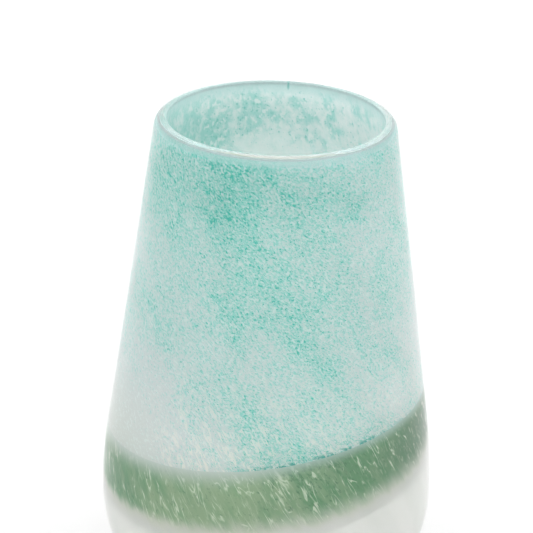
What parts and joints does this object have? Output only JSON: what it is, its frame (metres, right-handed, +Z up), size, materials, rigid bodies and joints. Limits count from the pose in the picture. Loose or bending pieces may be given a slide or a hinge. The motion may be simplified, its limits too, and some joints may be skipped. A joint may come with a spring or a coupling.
{
  "type": "art glass vase",
  "caption": "Free-standing hand blown vase of cased glass with a tapering neck, round belly, aqua frit coat and a wound sage ring.",
  "frame": {"origin": "centre of the flat foot, on the surface that the vase stands on", "axes": "+Z up along the vase's axis, +X towards the side where the sage ring rides highest"},
  "size_m": [0.17, 0.17, 0.27],
  "materials": {
    "clear_casing_glass": "clear fire-polished glass, smooth, with small trapped air seeds",
    "aqua_frit_glass": "fine crushed aqua glass melted into a pale ground, speckled",
    "sage_glass": "sage green opaque glass with smoky feathered edges",
    "opal_glass": "milky white opal glass, cloudy",
    "clear_inner_glass": "clear smooth glass"
  },
  "bodies": {
    "root": {"clear_casing": "clear_casing_glass", "aqua_frit_layer": "aqua_frit_glass", "sage_ring": "sage_glass", "opal_layer": "opal_glass", "inner_gather": "clear_inner_glass"}
  },
  "joints": []
}
